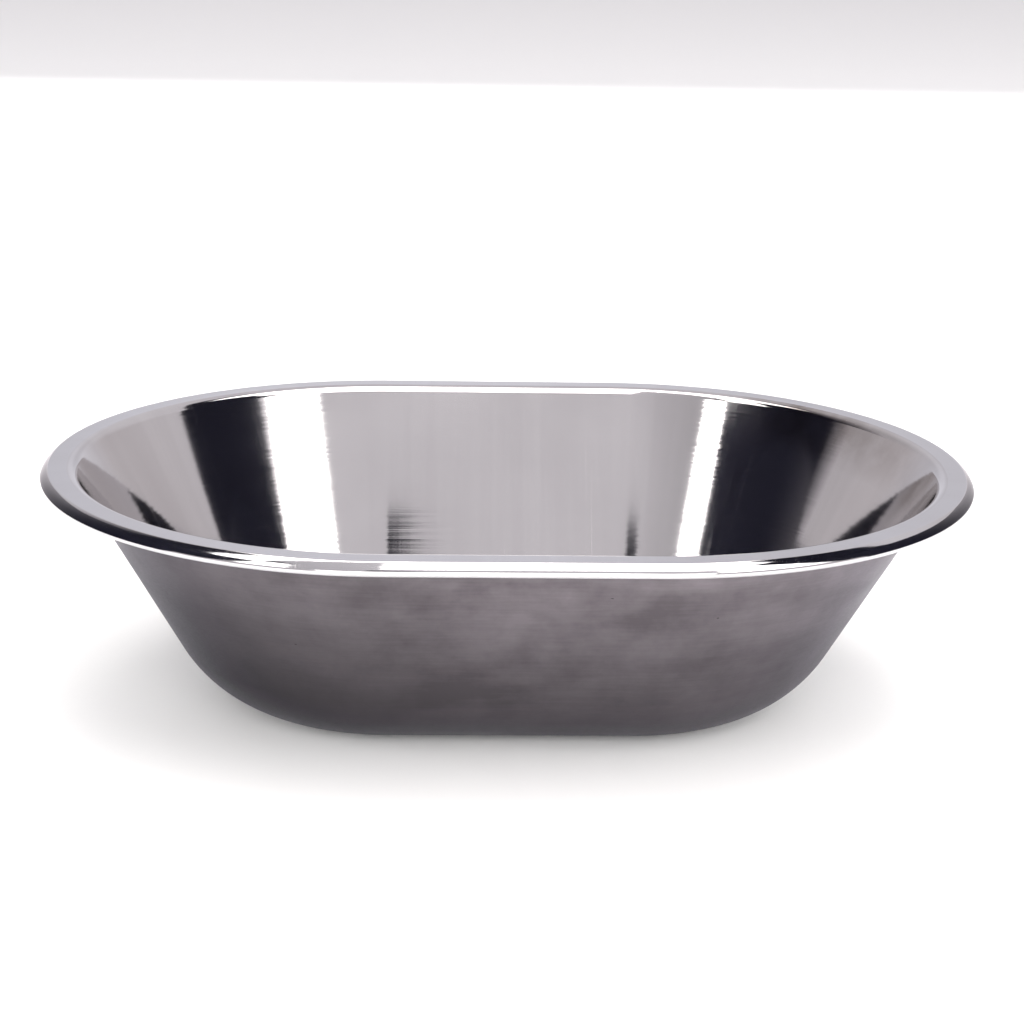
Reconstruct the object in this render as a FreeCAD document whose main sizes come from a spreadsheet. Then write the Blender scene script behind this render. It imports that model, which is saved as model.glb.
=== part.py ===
import FreeCAD, Part
import os
from math import cos, radians, sin, tan

import Sketcher
from FreeCAD import Vector

# Oval foot basin drawn from one sheet of stainless steel. The plan is a stadium:
# a straight middle and two semicircular ends. One sheet-metal section makes all of it,
# padded along the middle and revolved round each end. Millimetres, +X along the basin,
# +Z up, origin in the middle of the underside of the floor.

DIMENSIONS = [
    # alias, value, what it is
    ("overallLength", 450, "over the rolled edge, end to end"),
    ("overallWidth", 333, "over the rolled edge, side to side"),
    ("overallHeight", 121, "bench to flat ring"),
    ("sheetThickness", 0.8, "same everywhere"),
    ("baseRadius", 66.4, "floor to wall, outside face"),
    ("wallTaper", 29.45, "wall to vertical, degrees"),
    ("lipRadius", 5.8, "wall to flat ring, polished face"),
    ("ringFlat", 8.5, "flat part of the ring"),
    ("ringEdgeRadius", 1.5, "flat ring to skirt, outside face"),
    ("skirtAngle", 45, "skirt to vertical, degrees"),
    ("skirtDrop", 6.45, "ring down to the bottom of the roll"),
    ("rollRadius", 2, "rolled edge, outside face"),
    ("rollSweep", 180, "how far the sheet turns in the rolled edge, degrees"),
]


def makeSheet(doc):
    sheet = doc.addObject("Spreadsheet::Sheet", "Dimensions")
    for row, (alias, value, note) in enumerate(DIMENSIONS, start=1):
        sheet.set(f"A{row}", alias)
        sheet.set(f"B{row}", str(value))
        sheet.set(f"C{row}", note)
        sheet.setAlias(f"B{row}", alias)
    doc.recompute()
    return sheet


def originPlane(body, role):
    return next(plane for plane in body.Origin.OriginFeatures if plane.Role == role)


def polar(centre, radius, angle):
    return centre + Vector(radius * cos(angle), radius * sin(angle), 0)


def bendCentres(sheet):
    """Centres of the four bends, working in from the outermost point of the roll."""
    taper, skirt = radians(sheet.wallTaper), radians(sheet.skirtAngle)
    roll = Vector(sheet.overallWidth / 2 - sheet.rollRadius,
                  sheet.overallHeight - sheet.skirtDrop + sheet.rollRadius, 0)
    edgeZ = sheet.overallHeight - sheet.ringEdgeRadius
    edgeOffset = sheet.rollRadius - sheet.ringEdgeRadius
    edge = Vector(roll.x + (edgeOffset - (edgeZ - roll.y) * sin(skirt)) / cos(skirt), edgeZ, 0)
    lip = Vector(edge.x - sheet.ringFlat, sheet.overallHeight - sheet.lipRadius, 0)
    reach = sheet.baseRadius + sheet.lipRadius - sheet.sheetThickness
    base = Vector(lip.x - (reach + (lip.y - sheet.baseRadius) * sin(taper)) / cos(taper),
                  sheet.baseRadius, 0)
    return base, lip, edge, roll


def drawSection(sketch, sheet):
    """Half section of the basin, from its centre line at X = 0 out to the rolled edge."""
    base, lip, edge, roll = bendCentres(sheet)
    thick = sheet.sheetThickness
    taper, skirt = radians(sheet.wallTaper), radians(sheet.skirtAngle)
    down, up = radians(-90), radians(90)
    wallOut, wallIn = -taper, radians(180) - taper
    cutEdge = skirt - radians(sheet.rollSweep)

    def line(start, end):
        return sketch.addGeometry(Part.LineSegment(start, end), False)

    def arc(centre, radius, low, high):
        circle = Part.Circle(centre, Vector(0, 0, 1), radius)
        return sketch.addGeometry(Part.ArcOfCircle(circle, low, high), False)

    # underside, from the centre line out
    floorUnder = line(Vector(0, 0, 0), Vector(base.x, 0, 0))
    baseUnder = arc(base, sheet.baseRadius, down, wallOut)
    wallUnder = line(polar(base, sheet.baseRadius, wallOut),
                     polar(lip, sheet.lipRadius - thick, wallIn))
    lipUnder = arc(lip, sheet.lipRadius - thick, up, wallIn)
    ringUnder = line(polar(lip, sheet.lipRadius - thick, up),
                     polar(edge, sheet.ringEdgeRadius - thick, up))
    edgeUnder = arc(edge, sheet.ringEdgeRadius - thick, skirt, up)
    skirtUnder = line(polar(edge, sheet.ringEdgeRadius - thick, skirt),
                      polar(roll, sheet.rollRadius - thick, skirt))
    rollUnder = arc(roll, sheet.rollRadius - thick, cutEdge, skirt)
    cut = line(polar(roll, sheet.rollRadius - thick, cutEdge),
               polar(roll, sheet.rollRadius, cutEdge))
    # polished face, back to the centre line
    rollTop = arc(roll, sheet.rollRadius, cutEdge, skirt)
    skirtTop = line(polar(roll, sheet.rollRadius, skirt),
                    polar(edge, sheet.ringEdgeRadius, skirt))
    edgeTop = arc(edge, sheet.ringEdgeRadius, skirt, up)
    ringTop = line(polar(edge, sheet.ringEdgeRadius, up), polar(lip, sheet.lipRadius, up))
    lipTop = arc(lip, sheet.lipRadius, up, wallIn)
    wallTop = line(polar(lip, sheet.lipRadius, wallIn),
                   polar(base, sheet.baseRadius - thick, wallOut))
    baseTop = arc(base, sheet.baseRadius - thick, down, wallOut)
    floorTop = line(polar(base, sheet.baseRadius - thick, down), Vector(0, thick, 0))
    middle = line(Vector(0, thick, 0), Vector(0, 0, 0))

    def constrain(*args):
        return sketch.addConstraint(Sketcher.Constraint(*args))

    start, end, centre = 1, 2, 3
    sketchOrigin = (-1, start)
    for first, firstPoint, second, secondPoint in [
            (floorUnder, end, baseUnder, start), (baseUnder, end, wallUnder, start),
            (wallUnder, end, lipUnder, end), (lipUnder, start, ringUnder, start),
            (ringUnder, end, edgeUnder, end), (edgeUnder, start, skirtUnder, start),
            (skirtUnder, end, rollUnder, end), (rollTop, end, skirtTop, start),
            (skirtTop, end, edgeTop, start), (edgeTop, end, ringTop, start),
            (ringTop, end, lipTop, start), (lipTop, end, wallTop, start),
            (wallTop, end, baseTop, end), (baseTop, start, floorTop, start)]:
        constrain("Tangent", first, firstPoint, second, secondPoint)
    constrain("Perpendicular", rollUnder, start, cut, start)
    constrain("Coincident", cut, end, rollTop, start)
    constrain("Coincident", floorTop, end, middle, start)
    constrain("Coincident", middle, end, floorUnder, start)
    for under, top in [(baseUnder, baseTop), (lipUnder, lipTop),
                       (edgeUnder, edgeTop), (rollUnder, rollTop)]:
        constrain("Coincident", under, centre, top, centre)
    constrain("Coincident", floorUnder, start, *sketchOrigin)
    constrain("Vertical", middle)
    for flat in (floorUnder, floorTop, ringTop):
        constrain("Horizontal", flat)

    def bind(name, formula, *args):
        sketch.renameConstraint(constrain(*args), name)
        sketch.setExpression(f"Constraints.{name}", formula)

    bends = [("base", baseUnder, baseTop, "baseRadius"),
             ("lip", lipTop, lipUnder, "lipRadius"),
             ("edge", edgeTop, edgeUnder, "ringEdgeRadius"),
             ("roll", rollTop, rollUnder, "rollRadius")]
    for name, outer, inner, alias in bends:
        radius = getattr(sheet, alias)
        bind(f"{name}Outer", f"Dimensions.{alias}", "Radius", outer, radius)
        bind(f"{name}Inner", f"Dimensions.{alias} - Dimensions.sheetThickness",
             "Radius", inner, radius - thick)
    bind("height", "Dimensions.overallHeight",
         "DistanceY", *sketchOrigin, ringTop, start, sheet.overallHeight)
    bind("ring", "Dimensions.ringFlat",
         "DistanceX", ringTop, end, ringTop, start, sheet.ringFlat)
    bind("rollX", "Dimensions.overallWidth / 2 - Dimensions.rollRadius",
         "DistanceX", *sketchOrigin, rollTop, centre, roll.x)
    bind("rollZ", "Dimensions.overallHeight - Dimensions.skirtDrop + Dimensions.rollRadius",
         "DistanceY", *sketchOrigin, rollTop, centre, roll.y)
    bind("taper", "(90 - Dimensions.wallTaper) * 1 deg", "Angle", wallUnder, up - taper)
    bind("skirt", "(90 + Dimensions.skirtAngle) * 1 deg", "Angle", skirtTop, up + skirt)
    bind("rollCut", "(Dimensions.skirtAngle - Dimensions.rollSweep) * 1 deg", "Angle", cut, cutEdge)


def sectionSketch(body, name, role, sheet):
    sketch = body.newObject("Sketcher::SketchObject", name)
    sketch.AttachmentSupport = [(originPlane(body, role), "")]
    sketch.MapMode = "FlatFace"
    drawSection(sketch, sheet)
    return sketch


def mirror(body, name, feature, role):
    copy = body.newObject("PartDesign::Mirrored", name)
    copy.Originals = [feature]
    copy.MirrorPlane = (originPlane(body, role), [""])
    body.Tip = copy
    return copy


def makeBasin(doc, sheet):
    """One pressed piece: the padded middle, then a revolved half bowl on each end of it."""
    body = doc.addObject("PartDesign::Body", "Basin")
    body.Label = "basin"

    side = body.newObject("PartDesign::Pad", "MiddleFrontSide")
    side.Profile = sectionSketch(body, "MiddleSection", "YZ_Plane", sheet)
    side.SideType = "Symmetric"
    side.setExpression("Length", "Dimensions.overallLength - Dimensions.overallWidth")
    mirror(body, "MiddleBothSides", side, "XZ_Plane")

    endSection = sectionSketch(body, "EndSection", "XZ_Plane", sheet)
    endSection.setExpression("AttachmentOffset.Base.x",
                             "(Dimensions.overallLength - Dimensions.overallWidth) / 2")
    bowl = body.newObject("PartDesign::Revolution", "EndBowl")
    bowl.Profile = endSection
    bowl.ReferenceAxis = (endSection, ["V_Axis"])
    bowl.Angle = 180
    bowl.Midplane = True
    mirror(body, "BothEndBowls", bowl, "YZ_Plane")
    return body


def checkDocument(doc, parts):
    for thing in doc.Objects:
        if "Invalid" in thing.State or "Error" in thing.State:
            raise RuntimeError(f"{thing.Name} failed: {thing.State}")
    for part in parts:
        if part.Shape.isNull() or not part.Shape.isValid():
            raise RuntimeError(f"{part.Label} has no valid shape")
        if len(part.Shape.Solids) != 1:
            raise RuntimeError(f"{part.Label} is {len(part.Shape.Solids)} solids, not one")


doc = FreeCAD.newDocument("FootBasin")
sheet = makeSheet(doc)
parts = [makeBasin(doc, sheet)]
doc.recompute()
checkDocument(doc, parts)

os.makedirs("parts", exist_ok=True)
for part in parts:
    part.Shape.exportStep(f"parts/{part.Label}.step")
    box = part.Shape.optimalBoundingBox(False)
    print(f"{part.Label}: {box.XLength:.2f} x {box.YLength:.2f} x {box.ZLength:.2f} mm,"
          f" {part.Shape.Volume / 1000:.1f} cm3, {len(part.Shape.Faces)} faces")
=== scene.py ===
import math
import bpy
from mathutils import Matrix, Vector


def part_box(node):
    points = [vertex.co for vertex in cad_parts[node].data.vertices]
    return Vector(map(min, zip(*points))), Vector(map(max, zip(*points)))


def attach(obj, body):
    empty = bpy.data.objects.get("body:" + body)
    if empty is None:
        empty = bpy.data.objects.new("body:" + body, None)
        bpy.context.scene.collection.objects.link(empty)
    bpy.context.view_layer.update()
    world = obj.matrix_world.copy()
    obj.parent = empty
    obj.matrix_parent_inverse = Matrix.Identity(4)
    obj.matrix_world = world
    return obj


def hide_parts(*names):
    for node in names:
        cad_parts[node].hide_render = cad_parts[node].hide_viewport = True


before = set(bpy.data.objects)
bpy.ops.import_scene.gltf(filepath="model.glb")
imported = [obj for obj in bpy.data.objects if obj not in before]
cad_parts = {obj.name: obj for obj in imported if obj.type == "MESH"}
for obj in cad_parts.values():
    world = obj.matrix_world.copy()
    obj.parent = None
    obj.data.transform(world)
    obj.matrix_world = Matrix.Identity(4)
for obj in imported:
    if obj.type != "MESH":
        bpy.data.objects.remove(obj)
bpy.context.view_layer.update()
lowCorner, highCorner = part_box("basin")
scene = bpy.context.scene
scene.view_settings.view_transform = "Standard"  # whites stay white on bare metal


# camera: a little left of the middle, looking down over the front rim

cameraView = {
    "lens": 84.375,
    "sensor": 36.0,
    "place": (-0.04906, -1.12540, 0.43089),
    "aim": (0.00215, 0.0, 0.09451),
    "roll": 1.2,  # degrees, clockwise lean of the tripod head
}

cameraData = bpy.data.cameras.new("basinCamera")
cameraData.lens = cameraView["lens"]
cameraData.sensor_width = cameraView["sensor"]
camera = bpy.data.objects.new("basinCamera", cameraData)
scene.collection.objects.link(camera)
sightLine = Vector(cameraView["aim"]) - Vector(cameraView["place"])
lookAt = sightLine.to_track_quat("-Z", "Y").to_matrix().to_4x4()
lean = Matrix.Rotation(math.radians(cameraView["roll"]), 4, "Z")
camera.matrix_world = Matrix.Translation(cameraView["place"]) @ lookAt @ lean
scene.camera = camera
print("camera set")


# the pressed sheet: one section carried round a plan with straight sides and round ends

basinSheet = {
    "thickness": 0.0008,
    "baseRadius": 0.0664,  # outside of the bend between floor and wall
    "wallTaper": 29.45,  # degrees the wall leans out
    "lipRadius": 0.0058,  # wall to ring, on the inside face
    "ringFlat": 0.0085,
    "ringEdgeRadius": 0.0015,
    "skirtAngle": 45.0,
    "skirtDrop": 0.00645,
    "skirtCrown": 0.009,  # the skirt is very slightly round between the two bends
    "rollRadius": 0.002,
    "rollSweep": 180.0,
    "sideColumns": 22,
    "endColumns": 136,
    # rows of faces along each run of the section
    "steps": {"floor": 6, "base": 22, "wall": 12, "lip": 14, "lipUnder": 10, "ring": 3, "ringUnder": 2,
              "edge": 6, "edgeUnder": 4, "skirt": 8, "skirtUnder": 4, "roll": 16, "rollUnder": 12},
    "blankEndReach": 0.1,  # radius given to the round ends of the flat blank
}


def straightRun(start, end, normal, steps):
    points = []
    for step in range(steps + 1):
        part = step / steps
        points.append((start[0] + (end[0] - start[0]) * part, start[1] + (end[1] - start[1]) * part))
    return points, [normal] * len(points)


def bentRun(centre, radius, first, last, side, steps):
    points = []
    normals = []
    for step in range(steps + 1):
        turn = math.radians(first + (last - first) * step / steps)
        points.append((centre[0] + radius * math.cos(turn), centre[1] + radius * math.sin(turn)))
        normals.append((side * math.cos(turn), side * math.sin(turn)))
    return points, normals


def crownCentre(first, firstReach, second, secondReach):
    # a circle that takes in both bends: its centre lies at a known reach from each
    apart = math.dist(first, second)
    ahead = (firstReach ** 2 - secondReach ** 2 + apart ** 2) / (2 * apart)
    aside = math.sqrt(firstReach ** 2 - ahead ** 2)
    step = ((second[0] - first[0]) / apart, (second[1] - first[1]) / apart)
    return first[0] + step[0] * ahead + step[1] * aside, first[1] + step[1] * ahead - step[0] * aside


def sectionRuns(sheet, halfWidth, height):
    # out is measured from the centre of a round end, up from the floor it stands on
    gauge = sheet["thickness"]
    steps = sheet["steps"]
    taper = sheet["wallTaper"]
    lean = math.radians(taper)
    fall = math.radians(sheet["skirtAngle"])
    roll = (halfWidth - sheet["rollRadius"], height - sheet["skirtDrop"] + sheet["rollRadius"])
    edgeUp = height - sheet["ringEdgeRadius"]
    bendGap = sheet["rollRadius"] - sheet["ringEdgeRadius"] - (edgeUp - roll[1]) * math.sin(fall)
    edge = (roll[0] + bendGap / math.cos(fall), edgeUp)
    lip = (edge[0] - sheet["ringFlat"], height - sheet["lipRadius"])
    reach = sheet["baseRadius"] + sheet["lipRadius"] - gauge + (lip[1] - sheet["baseRadius"]) * math.sin(lean)
    base = (lip[0] - reach / math.cos(lean), sheet["baseRadius"])
    cut = sheet["skirtAngle"] - sheet["rollSweep"]
    cutTurn = math.radians(cut)
    crown = crownCentre(edge, sheet["skirtCrown"] - sheet["ringEdgeRadius"],
                        roll, sheet["skirtCrown"] - sheet["rollRadius"])
    skirtHigh = math.degrees(math.atan2(edge[1] - crown[1], edge[0] - crown[0]))
    skirtLow = math.degrees(math.atan2(roll[1] - crown[1], roll[0] - crown[0]))

    baseIn = bentRun(base, sheet["baseRadius"] - gauge, -90, -taper, -1, steps["base"])
    lipIn = bentRun(lip, sheet["lipRadius"], 180 - taper, 90, 1, steps["lip"])
    edgeOut = bentRun(edge, sheet["ringEdgeRadius"], 90, skirtHigh, 1, steps["edge"])
    skirtOut = bentRun(crown, sheet["skirtCrown"], skirtHigh, skirtLow, 1, steps["skirt"])
    rollOut = bentRun(roll, sheet["rollRadius"], skirtLow, cut, 1, steps["roll"])
    rollIn = bentRun(roll, sheet["rollRadius"] - gauge, cut, skirtLow, -1, steps["rollUnder"])
    skirtIn = bentRun(crown, sheet["skirtCrown"] - gauge, skirtLow, skirtHigh, -1, steps["skirtUnder"])
    edgeIn = bentRun(edge, sheet["ringEdgeRadius"] - gauge, skirtHigh, 90, -1, steps["edgeUnder"])
    lipOut = bentRun(lip, sheet["lipRadius"] - gauge, 90, 180 - taper, -1, steps["lipUnder"])
    baseOut = bentRun(base, sheet["baseRadius"], -taper, -90, 1, steps["base"])
    cutNormal = (math.sin(cutTurn), -math.cos(cutTurn))
    wallNormal = (-math.cos(lean), math.sin(lean))
    wallUnder = (-wallNormal[0], -wallNormal[1])
    return [
        (straightRun((0.0, gauge), baseIn[0][0], (0, 1), steps["floor"]), "inside"),
        (baseIn, "inside"),
        (straightRun(baseIn[0][-1], lipIn[0][0], wallNormal, steps["wall"]), "inside"),
        (lipIn, "inside"),
        (straightRun(lipIn[0][-1], edgeOut[0][0], (0, 1), steps["ring"]), "rim"),
        (edgeOut, "rim"),
        (skirtOut, "rim"),
        (rollOut, "rim"),
        (straightRun(rollOut[0][-1], rollIn[0][0], cutNormal, 1), "rim"),
        (rollIn, "rim"),
        (skirtIn, "outside"),
        (edgeIn, "outside"),
        (straightRun(edgeIn[0][-1], lipOut[0][0], (0, -1), steps["ringUnder"]), "outside"),
        (lipOut, "outside"),
        (straightRun(lipOut[0][-1], baseOut[0][0], wallUnder, steps["wall"]), "outside"),
        (baseOut, "outside"),
        (straightRun(baseOut[0][-1], (0.0, 0.0), (0, -1), steps["floor"]), "outside"),
    ]


def planColumns(sheet, halfStraight):
    # each column is a place on the centre line and the way it faces
    columns = []
    sides = sheet["sideColumns"]
    ends = sheet["endColumns"]
    for step in range(sides):
        columns.append((halfStraight * (2 * step / sides - 1), 0.0, -1.0))
    for step in range(ends):
        turn = math.pi * (step / ends - 0.5)
        columns.append((halfStraight, math.cos(turn), math.sin(turn)))
    for step in range(sides):
        columns.append((halfStraight * (1 - 2 * step / sides), 0.0, 1.0))
    for step in range(ends):
        turn = math.pi * (step / ends + 0.5)
        columns.append((-halfStraight, math.cos(turn), math.sin(turn)))
    return columns


def pressSheet(sheet, materials):
    halfWidth = (highCorner.y - lowCorner.y) / 2
    halfStraight = (highCorner.x - lowCorner.x) / 2 - halfWidth
    middle = (lowCorner + highCorner) / 2
    runs = sectionRuns(sheet, halfWidth, highCorner.z - lowCorner.z)
    columns = planColumns(sheet, halfStraight)
    count = len(columns)
    endReach = sheet["blankEndReach"]
    onCentre = 1e-7

    verts = []
    drawn = []  # where each point lay on the flat blank, for the polishing lines
    rings = []

    def addRing(out, up, across):
        ring = []
        if out < onCentre:  # the rings close on the centre line
            found = {}
            for place, _, _ in columns:
                key = round(place, 6)
                if key not in found:
                    found[key] = len(verts)
                    verts.append((middle.x + place, middle.y, lowCorner.z + up))
                    drawn.append((place, 0.0, across))
                ring.append(found[key])
        else:
            for place, outX, outY in columns:
                ring.append(len(verts))
                verts.append((middle.x + place + out * outX, middle.y + out * outY, lowCorner.z + up))
                drawn.append((place + endReach * outX, endReach * outY, across))
        rings.append(ring)

    faces = []
    cornerNormals = []
    zones = []
    zoneIndex = {"inside": 0, "rim": 1, "outside": 2}
    across = 0.0
    lastPoint = None
    for (points, normals), zone in runs:
        for index, point in enumerate(points):
            if lastPoint is not None:
                across += math.dist(lastPoint, point)
            lastPoint = point
            if index == 0 and rings:
                continue
            addRing(point[0], point[1], across)
            if index == 0:
                continue
            inner, outer = rings[-2], rings[-1]
            for column in range(count):
                after = (column + 1) % count
                corners = [
                    (inner[column], normals[index - 1], column),
                    (inner[after], normals[index - 1], after),
                    (outer[after], normals[index], after),
                    (outer[column], normals[index], column),
                ]
                if corners[0][0] == corners[1][0]:
                    corners.pop(1)
                elif corners[2][0] == corners[3][0]:
                    corners.pop(3)
                corners.reverse()  # so that the faces look out of the metal
                faces.append([corner[0] for corner in corners])
                zones.append(zoneIndex[zone])
                for _, normal, which in corners:
                    _, outX, outY = columns[which]
                    cornerNormals.append((normal[0] * outX, normal[0] * outY, normal[1]))

    mesh = bpy.data.meshes.new("pressedBasin")
    mesh.from_pydata(verts, [], faces)
    for material in materials:
        mesh.materials.append(material)
    mesh.polygons.foreach_set("material_index", zones)
    mesh.polygons.foreach_set("use_smooth", [True] * len(faces))
    blank = mesh.attributes.new("drawn", "FLOAT_VECTOR", "POINT")
    blank.data.foreach_set("vector", [number for spot in drawn for number in spot])
    mesh.normals_split_custom_set(cornerNormals)
    mesh.update()
    basin = bpy.data.objects.new("pressedBasin", mesh)
    scene.collection.objects.link(basin)
    return basin


# node helpers

def newMaterial(name):
    material = bpy.data.materials.new(name)
    material.use_nodes = True
    return material, material.node_tree.nodes["Principled BSDF"]


def addNode(material, kind, **sockets):
    node = material.node_tree.nodes.new(kind)
    for name, value in sockets.items():
        if name in node.inputs:
            node.inputs[name].default_value = value
        else:
            setattr(node, name, value)
    return node


def join(material, source, target):
    material.node_tree.links.new(source, target)


def noiseAt(material, place, scale, detail, rough=0.5):
    noise = addNode(material, "ShaderNodeTexNoise", Scale=scale, Detail=detail, Roughness=rough)
    join(material, place, noise.inputs["Vector"])
    return noise.outputs["Fac"]


def marksOn(material, along, across, detail):
    # noise stretched on the flat blank: fast across makes rings, fast along makes draw lines
    blank = addNode(material, "ShaderNodeAttribute", attribute_name="drawn")
    stretch = addNode(material, "ShaderNodeVectorMath", operation="MULTIPLY")
    stretch.inputs[1].default_value = (along, along, across)
    join(material, blank.outputs["Vector"], stretch.inputs[0])
    return noiseAt(material, stretch.outputs[0], 1.0, detail)


def spread(material, source, low, high, newLow, newHigh):
    span = addNode(material, "ShaderNodeMapRange")
    span.inputs["From Min"].default_value = low
    span.inputs["From Max"].default_value = high
    span.inputs["To Min"].default_value = newLow
    span.inputs["To Max"].default_value = newHigh
    join(material, source, span.inputs["Value"])
    return span.outputs["Result"]


def combine(material, operation, first, second):
    combined = addNode(material, "ShaderNodeMath", operation=operation)
    join(material, first, combined.inputs[0])
    join(material, second, combined.inputs[1])
    return combined.outputs[0]


def sumOf(material, first, second):
    return combine(material, "ADD", first, second)


def blend(material, factor, first, second):
    mixing = addNode(material, "ShaderNodeMix", data_type="RGBA")
    join(material, factor, mixing.inputs["Factor"])
    mixing.inputs["A"].default_value = (*first, 1)
    mixing.inputs["B"].default_value = (*second, 1)
    return mixing.outputs["Result"]


def cover(material, factor, under, colour):
    # lays one colour over what is there already
    covering = addNode(material, "ShaderNodeMix", data_type="RGBA")
    join(material, factor, covering.inputs["Factor"])
    join(material, under, covering.inputs["A"])
    covering.inputs["B"].default_value = (*colour, 1)
    return covering.outputs["Result"]


def partsOf(material, place):
    parts = addNode(material, "ShaderNodeSeparateXYZ")
    join(material, place, parts.inputs[0])
    return parts.outputs


def bumpOn(material, height, distance, under=None):
    bump = addNode(material, "ShaderNodeBump", Strength=1.0, Distance=distance)
    join(material, height, bump.inputs["Height"])
    if under is not None:
        join(material, under, bump.inputs["Normal"])
    return bump.outputs["Normal"]


# polished steel: inside and rim

polishedLook = {
    "inside": {
        "bright": (0.64, 0.62, 0.63),
        "dull": (0.58, 0.56, 0.57),
        "cloudGloss": (0.3, 0.7, 0.055, 0.095),
        "stain": (0.31, 0.275, 0.262),  # water dried brown just under the lip, toward one end
        "stainPatches": (55.0, 4.0),
        "stainStrength": (0.35, 0.62, 0.35, 1.0),
        # an axis of the basin, two places on it and the strength at each
        "stainEdges": [("Z", 0.096, 0.112, 0.0, 1.0), ("X", 0.128, 0.150, 0.0, 1.0),
                       ("X", 0.165, 0.205, 1.0, 0.2), ("Y", -0.02, 0.02, 0.0, 1.0)],
    },
    "rim": {
        "bright": (0.66, 0.65, 0.67),
        "dull": (0.62, 0.605, 0.62),
        "cloudGloss": (0.3, 0.7, 0.05, 0.10),
    },
    # noise in space: scale (larger is finer) and detail
    "clouds": (11.0, 4.0),
    "waves": (7.0, 1.0),
    # marks on the flat blank: how many a metre along it and across it, and detail
    "ringLines": (5.0, 2600.0, 3.0),
    "drawLines": (90.0, 2.5, 4.0),
    "scratches": (620.0, 5.0, 2.0),
    "wander": (14.0, 2000.0, 2.0),
    # noise between the first two numbers makes a change between the last two
    "cloudTint": (0.35, 0.65, 0.15, 0.85),
    "drawTint": (0.40, 0.60, -0.20, 0.20),
    "ringGloss": (0.3, 0.7, -0.012, 0.012),
    "scratchGloss": (0.64, 0.80, 0.0, 0.12),
    "sideJitter": (0.25, 0.75, -0.008, 0.008),
    "waveDepth": 0.00022,
    "drawDepth": 0.000012,
    "ringDepth": 0.0000012,
}


def polishedSteel(name, tone):
    look = polishedLook
    material, shader = newMaterial(name)
    shader.inputs["Metallic"].default_value = 1.0
    here = addNode(material, "ShaderNodeTexCoord").outputs["Object"]
    clouds = noiseAt(material, here, *look["clouds"])
    waves = noiseAt(material, here, *look["waves"])
    ringLines = marksOn(material, *look["ringLines"])
    drawLines = marksOn(material, *look["drawLines"])

    tint = sumOf(material, spread(material, clouds, *look["cloudTint"]),
                 spread(material, drawLines, *look["drawTint"]))
    colour = blend(material, tint, tone["dull"], tone["bright"])
    if "stain" in tone:
        patchy = spread(material, noiseAt(material, here, *tone["stainPatches"]), *tone["stainStrength"])
        parts = partsOf(material, here)
        for axis, *edge in tone["stainEdges"]:
            patchy = combine(material, "MULTIPLY", patchy, spread(material, parts[axis], *edge))
        colour = cover(material, patchy, colour, tone["stain"])
    join(material, colour, shader.inputs["Base Color"])

    # thin dull lines are left by the draw
    scored = spread(material, marksOn(material, *look["scratches"]), *look["scratchGloss"])
    gloss = sumOf(material, spread(material, clouds, *tone["cloudGloss"]),
                  spread(material, ringLines, *look["ringGloss"]))
    join(material, sumOf(material, gloss, scored), shader.inputs["Roughness"])

    # polishing wanders a hair sideways, which breaks the edge of a reflection into fine teeth
    facing = addNode(material, "ShaderNodeNewGeometry").outputs["Normal"]
    sideways = addNode(material, "ShaderNodeVectorMath", operation="CROSS_PRODUCT")
    join(material, facing, sideways.inputs[0])
    sideways.inputs[1].default_value = (0, 0, 1)
    shift = addNode(material, "ShaderNodeVectorMath", operation="SCALE")
    join(material, sideways.outputs[0], shift.inputs[0])
    jitter = spread(material, marksOn(material, *look["wander"]), *look["sideJitter"])
    join(material, jitter, shift.inputs["Scale"])
    jittered = addNode(material, "ShaderNodeVectorMath", operation="ADD")
    join(material, facing, jittered.inputs[0])
    join(material, shift.outputs[0], jittered.inputs[1])
    straightened = addNode(material, "ShaderNodeVectorMath", operation="NORMALIZE")
    join(material, jittered.outputs[0], straightened.inputs[0])

    waved = bumpOn(material, waves, look["waveDepth"], straightened.outputs[0])
    pulled = bumpOn(material, drawLines, look["drawDepth"], waved)
    ringed = bumpOn(material, ringLines, look["ringDepth"], pulled)
    join(material, ringed, shader.inputs["Normal"])
    return material


# satin steel: the outside, left as it came off the press and scrubbed

satinLook = {
    "bright": (0.250, 0.226, 0.244),
    "dull": (0.140, 0.124, 0.136),
    "grazing": (0.78, 0.78, 0.82),  # dulled metal doesn't flare at its outline
    "paintedShade": (0.050, 0.045, 0.050),  # painted shade, darker toward the base and the left end
    # two places up the basin or along it, and the strength of the painted shade at each
    "paintedShadeToBase": (0.002, 0.105, 0.86, 0.0),
    "paintedShadeToEnd": (-0.20, -0.02, 0.72, 0.0),
    "moreUnderRim": (0.06, 0.11, 0.0, 0.07),  # most of the pits are close under the rim
    "pit": (0.035, 0.03, 0.03),
    "pitEdges": (0.83, 0.87, 0.0, 0.8),
    # noise in space: scale (larger is finer), detail and roughness
    "clouds": (16.0, 5.0, 0.55),
    "blotches": (52.0, 5.0, 0.6),
    "dents": (22.0, 2.0),
    # marks on the flat blank: how many a metre along it and across it, and detail
    "smears": (14.0, 60.0, 4.0),
    "brushing": (45.0, 900.0, 3.0),
    "grain": (500.0, 1800.0, 3.0),
    "specks": (260.0, 420.0, 1.0),
    # noise between the first two numbers makes a change between the last two
    "cloudTint": (0.35, 0.65, 0.15, 0.75),
    "smearTint": (0.35, 0.65, -0.14, 0.22),
    "blotchTint": (0.35, 0.65, -0.24, 0.24),
    "brushTint": (0.30, 0.70, -0.09, 0.09),
    "cloudGloss": (0.3, 0.7, 0.30, 0.42),
    "grainGloss": (0.3, 0.7, -0.03, 0.03),
    "grainDepth": 0.000012,
    "dentDepth": 0.0004,
}


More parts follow.
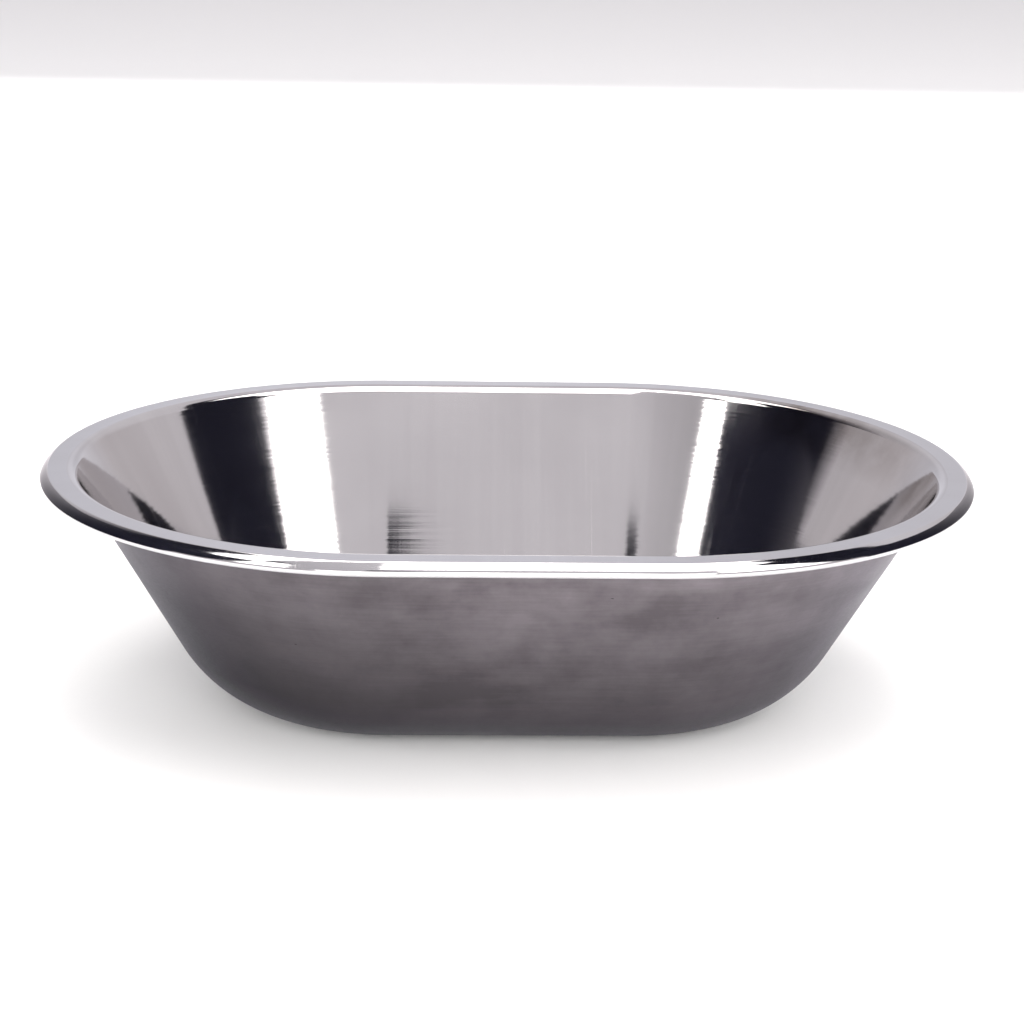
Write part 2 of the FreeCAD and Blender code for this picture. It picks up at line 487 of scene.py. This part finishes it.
def satinSteel(name):
    look = satinLook
    material, shader = newMaterial(name)
    shader.inputs["Metallic"].default_value = 1.0
    shader.inputs["Specular Tint"].default_value = (*look["grazing"], 1)
    here = addNode(material, "ShaderNodeTexCoord").outputs["Object"]
    parts = partsOf(material, here)
    clouds = noiseAt(material, here, *look["clouds"])
    blotches = noiseAt(material, here, *look["blotches"])
    grain = marksOn(material, *look["grain"])

    tint = sumOf(material, spread(material, clouds, *look["cloudTint"]),
                 spread(material, marksOn(material, *look["smears"]), *look["smearTint"]))
    tint = sumOf(material, tint, spread(material, blotches, *look["blotchTint"]))
    tint = sumOf(material, tint, spread(material, marksOn(material, *look["brushing"]), *look["brushTint"]))
    scrubbed = blend(material, tint, look["dull"], look["bright"])
    # painted shade: the outside's colour darkens toward its base and toward its left end
    paintedShade = sumOf(material, spread(material, parts["Z"], *look["paintedShadeToBase"]),
                 spread(material, parts["X"], *look["paintedShadeToEnd"]))
    withPaintedShade = cover(material, paintedShade, scrubbed, look["paintedShade"])
    specks = sumOf(material, marksOn(material, *look["specks"]),
                   spread(material, parts["Z"], *look["moreUnderRim"]))
    pitted = cover(material, spread(material, specks, *look["pitEdges"]), withPaintedShade, look["pit"])
    join(material, pitted, shader.inputs["Base Color"])

    gloss = sumOf(material, spread(material, clouds, *look["cloudGloss"]),
                  spread(material, grain, *look["grainGloss"]))
    join(material, gloss, shader.inputs["Roughness"])
    dented = bumpOn(material, noiseAt(material, here, *look["dents"]), look["dentDepth"])
    grained = bumpOn(material, grain, look["grainDepth"], dented)
    join(material, grained, shader.inputs["Normal"])
    return material


insideSteel = polishedSteel("polishedInside", polishedLook["inside"])
rimSteel = polishedSteel("polishedRim", polishedLook["rim"])
outsideSteel = satinSteel("satinOutside")
basin = pressSheet(basinSheet, [insideSteel, rimSteel, outsideSteel])
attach(basin, "root")
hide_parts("basin")
print("basin pressed:", len(basin.data.vertices), "points")


# studio: pale floor, pale room, soft boxes and the black cards that draw dark bands on bare metal

studio = {
    "roomSides": (0.66, 0.625, 0.64),
    "roomBehind": (0.82, 0.81, 0.87),
    "roomHigh": (0.79, 0.765, 0.79),
    # how bright each is from left to right
    "behindShades": [(-0.60, 0.86), (-0.16, 0.85), (-0.05, 0.98), (0.06, 0.99), (0.16, 0.87), (0.25, 0.88),
                     (0.36, 1.05)],
    "highShades": [(-0.45, 0.74), (-0.22, 0.90), (-0.08, 1.0), (0.50, 1.0)],
    # where the sides give way to what is behind (toward it is 1) and to what is high (straight up is 1)
    "behindEdges": (0.75, 0.97),
    "highEdges": (0.30, 0.55),
    "floor": (0.93, 0.93, 0.93),
    "floorRadius": 9.0,
    "floorGap": 0.0002,
    "floorRoughness": 0.9,
    "sheen": 0.05,  # mirror strength of the floor and panels
    "boxWhite": (1.0, 0.985, 0.96),
    "clothBlack": (0.008, 0.008, 0.014),
    "panelAim": (0, 0, 0.1),
}

# every panel faces the basin: heading from the camera's side (right is positive), height and
# distance place it, and its corners are metres across and up its own face
softBoxes = {
    "rightBox": {"heading": 47, "height": 40, "distance": 1.38, "strength": 2.2,
                 "corners": [(-0.43, -0.25), (0.41, -0.25), (0.125, 0.30), (-0.20, 0.30)]},
    "leftBox": {"heading": -45, "height": 40, "distance": 1.38, "strength": 2.2,
                "corners": [(-0.125, -0.25), (0.26, -0.25), (0.06, 0.25), (-0.10, 0.25)]},
    "leftHighBox": {"heading": -72, "height": 58, "distance": 1.30, "strength": 2.0,
                    "corners": [(0.02, -0.27), (0.30, -0.20), (0.13, 0.09), (0.0, 0.33), (-0.12, 0.75),
                                (-0.35, 0.75), (-0.28, 0.42), (-0.17, 0.13), (-0.11, -0.10)]},
    "frontBox": {"heading": 0, "height": 54, "distance": 2.60, "strength": 1.9,
                 "corners": [(-0.12, -0.15), (0.0, -0.16), (0.70, -0.10), (1.50, 0.14), (2.35, 0.42),
                             (1.90, 1.30), (1.55, 1.75), (1.20, 2.60), (0.0, 2.60), (-0.08, 1.60)]},
    "lowBox": {"heading": 0, "height": 20, "distance": 2.60, "strength": 1.7,
               "corners": [(-1.00, -0.60), (1.10, -0.60), (1.10, 0.62), (-1.00, 0.62)]},
    "topBox": {"heading": 180, "height": 78, "distance": 1.50, "strength": 2.2,
               "corners": [(-0.60, -0.35), (0.60, -0.35), (0.60, 0.30), (-0.60, 0.30)]},
}
blackCards = {
    # fade: where the cloth goes from black to room grey, across the card
    # curve and glow: how late the cloth starts to pale and how bright it ends
    # shades: False lets the light of the room and lamps through
    "rightCard": {"heading": 80, "height": 32, "distance": 1.45, "fade": (0.56, 0.66),
                  "corners": [(-0.34, -0.36), (0.66, -0.36), (0.44, 0.10), (0.44, 0.80), (-0.34, 0.80)]},
    "rightHighCard": {"heading": 80, "height": 32, "distance": 1.46, "fade": (1.30, 1.70),
                      "corners": [(0.40, 0.13), (0.47, 0.30), (0.90, 0.85), (1.60, 1.55), (1.25, 1.80),
                                  (0.34, 1.13), (0.05, 0.80)]},
    "leftCard": {"heading": -80, "height": 32, "distance": 1.45, "fade": (-0.52, -0.80),
                 "corners": [(0.60, -0.36), (0.60, 0.80), (-0.50, 0.80), (-0.50, 0.12), (-0.80, 0.10),
                             (-0.80, -0.36)]},
    "leftHighCard": {"heading": -80, "height": 32, "distance": 1.46, "fade": (-0.62, -1.75),
                     "corners": [(-0.48, 0.12), (-0.10, 0.80), (-0.28, 1.28), (-1.10, 2.05), (-1.85, 1.70),
                                 (-1.60, 0.90), (-1.60, 0.20)]},
    "smallCard": {"heading": 0, "height": 40, "distance": 1.40, "fade": (2.0, 3.0),
                  "corners": [(-0.20, 0.0), (-0.046, 0.0), (-0.048, 0.07), (-0.056, 0.100), (-0.16, 0.104)]},
    # two low ones stand close to the round ends and only the turned-down edge mirrors them
    "leftLowCard": {"heading": -115, "height": 8, "distance": 0.60, "fade": (0.30, -0.36), "curve": 3.0,
                    "glow": 1.7, "shades": False,
                    "corners": [(-0.45, -0.18), (0.66, -0.18), (0.66, 0.64), (0.50, 0.58), (0.20, 0.42),
                                (0.06, 0.30), (0.0, 0.20), (-0.10, 0.14), (-0.21, 0.085), (-0.45, 0.03)]},
    "rightLowCard": {"heading": 115, "height": 8, "distance": 0.65, "fade": (-0.36, 0.38), "curve": 3.0,
                     "glow": 1.7, "shades": False,
                     "corners": [(0.45, -0.18), (0.45, 0.03), (0.26, 0.09), (0.10, 0.13), (0.0, 0.16),
                                 (-0.08, 0.20), (-0.14, 0.24), (-0.30, 0.38), (-0.58, 0.52), (-0.66, -0.18)]},
}


def plainMaterial(name, colour, roughness, glow=0.0):
    material, shader = newMaterial(name)
    shader.inputs["Base Color"].default_value = (*colour, 1)
    shader.inputs["Roughness"].default_value = roughness
    shader.inputs["Specular IOR Level"].default_value = studio["sheen"]
    shader.inputs["Emission Color"].default_value = (*colour, 1)
    shader.inputs["Emission Strength"].default_value = glow
    return material


def fadedCloth(name, setting):
    cloth = plainMaterial(name, studio["clothBlack"], 1.0)
    shader = cloth.node_tree.nodes["Principled BSDF"]
    shader.inputs["Emission Color"].default_value = (*studio["roomSides"], 1)
    parts = partsOf(cloth, addNode(cloth, "ShaderNodeTexCoord").outputs["Object"])
    bend = addNode(cloth, "ShaderNodeMath", operation="POWER")
    join(cloth, spread(cloth, parts["X"], *setting["fade"], 0.0, 1.0), bend.inputs[0])
    bend.inputs[1].default_value = setting.get("curve", 1.0)
    paled = spread(cloth, bend.outputs[0], 0.0, 1.0, 0.0, setting.get("glow", 1.0))
    join(cloth, paled, shader.inputs["Emission Strength"])
    return cloth


def hangPanel(name, setting, material):
    aim = Vector(studio["panelAim"])
    heading = math.radians(setting["heading"])
    height = math.radians(setting["height"])
    away = Vector((math.sin(heading) * math.cos(height), -math.cos(heading) * math.cos(height),
                   math.sin(height)))
    turned = (-away).to_track_quat("-Z", "Y").to_matrix().to_4x4()
    mesh = bpy.data.meshes.new(name)
    corners = [(across, up, 0.0) for across, up in setting["corners"]]
    mesh.from_pydata(corners, [], [tuple(range(len(corners)))])
    mesh.materials.append(material)
    panel = bpy.data.objects.new(name, mesh)
    panel.matrix_world = Matrix.Translation(aim + away * setting["distance"]) @ turned
    panel.visible_camera = False
    scene.collection.objects.link(panel)
    return panel


for name, setting in softBoxes.items():
    hangPanel(name, setting, plainMaterial(name, studio["boxWhite"], 1.0, setting["strength"]))
for name, setting in blackCards.items():
    card = hangPanel(name, setting, fadedCloth(name, setting))
    card.visible_diffuse = card.visible_shadow = setting.get("shades", True)

# fill lights reach the floor under the rim and aren't mirrored in the metal
fillLights = {
    "overhead": {"place": (0, 0.8, 3.0), "size": (4.0, 4.0), "strength": 0.40},
    "lowFront": {"place": (0, -2.2, 0.8), "size": (3.6, 1.2), "strength": 3.2},
    "lowLeft": {"place": (-2.1, -0.3, 0.8), "size": (2.4, 1.2), "strength": 3.2},
    "lowRight": {"place": (2.1, -0.3, 0.8), "size": (2.4, 1.2), "strength": 2.8},
    "lowBack": {"place": (0, 2.4, 0.8), "size": (3.6, 1.2), "strength": 2.0},
}
for name, setting in fillLights.items():
    lamp = bpy.data.lights.new(name, "AREA")
    lamp.shape = "RECTANGLE"
    lamp.size, lamp.size_y = setting["size"]
    lamp.energy = setting["strength"] * math.pi * lamp.size * lamp.size_y
    hung = bpy.data.objects.new(name, lamp)
    hung.location = setting["place"]
    hung.rotation_euler = (-hung.location).to_track_quat("-Z", "Y").to_euler()
    hung.visible_glossy = False
    scene.collection.objects.link(hung)

around = []
for degrees in range(0, 360, 10):
    turn = math.radians(degrees)
    around.append((studio["floorRadius"] * math.cos(turn), studio["floorRadius"] * math.sin(turn),
                   lowCorner.z - studio["floorGap"]))
floorMesh = bpy.data.meshes.new("floor")
floorMesh.from_pydata(around, [], [tuple(range(len(around)))])
floorMesh.materials.append(plainMaterial("paleFloor", studio["floor"], studio["floorRoughness"]))
floor = bpy.data.objects.new("floor", floorMesh)
scene.collection.objects.link(floor)

room = bpy.data.worlds.new("room")
room.use_nodes = True
sky = room.node_tree.nodes


def shadeAcross(colour, shades):
    # the wall's colour, a little darker in places from left (-1) to right (1)
    ramp = sky.new("ShaderNodeValToRGB")
    stops = ramp.color_ramp.elements
    while len(stops) < len(shades):
        stops.new(0.5)
    for stop, (across, shade) in zip(stops, shades):
        stop.position = (across + 1) / 2
        stop.color = (*(part * shade for part in colour), 1)
    return ramp


def riseBetween(low, high):
    rise = sky.new("ShaderNodeMapRange")
    rise.inputs["From Min"].default_value = low
    rise.inputs["From Max"].default_value = high
    return rise


toward = sky.new("ShaderNodeSeparateXYZ")
across = riseBetween(-1.0, 1.0)
behind = riseBetween(*studio["behindEdges"])
upward = riseBetween(*studio["highEdges"])
behindShades = shadeAcross(studio["roomBehind"], studio["behindShades"])
highShades = shadeAcross(studio["roomHigh"], studio["highShades"])
low = sky.new("ShaderNodeMix")
low.data_type = "RGBA"
low.inputs["A"].default_value = (*studio["roomSides"], 1)
high = sky.new("ShaderNodeMix")
high.data_type = "RGBA"
for source, target in [
    (sky.new("ShaderNodeTexCoord").outputs["Generated"], toward.inputs[0]),
    (toward.outputs["X"], across.inputs["Value"]),
    (toward.outputs["Y"], behind.inputs["Value"]),
    (toward.outputs["Z"], upward.inputs["Value"]),
    (across.outputs["Result"], behindShades.inputs["Fac"]),
    (across.outputs["Result"], highShades.inputs["Fac"]),
    (behindShades.outputs["Color"], low.inputs["B"]),
    (behind.outputs["Result"], low.inputs["Factor"]),
    (low.outputs["Result"], high.inputs["A"]),
    (highShades.outputs["Color"], high.inputs["B"]),
    (upward.outputs["Result"], high.inputs["Factor"]),
    (high.outputs["Result"], sky["Background"].inputs["Color"]),
]:
    room.node_tree.links.new(source, target)
scene.world = room
print("studio lit")
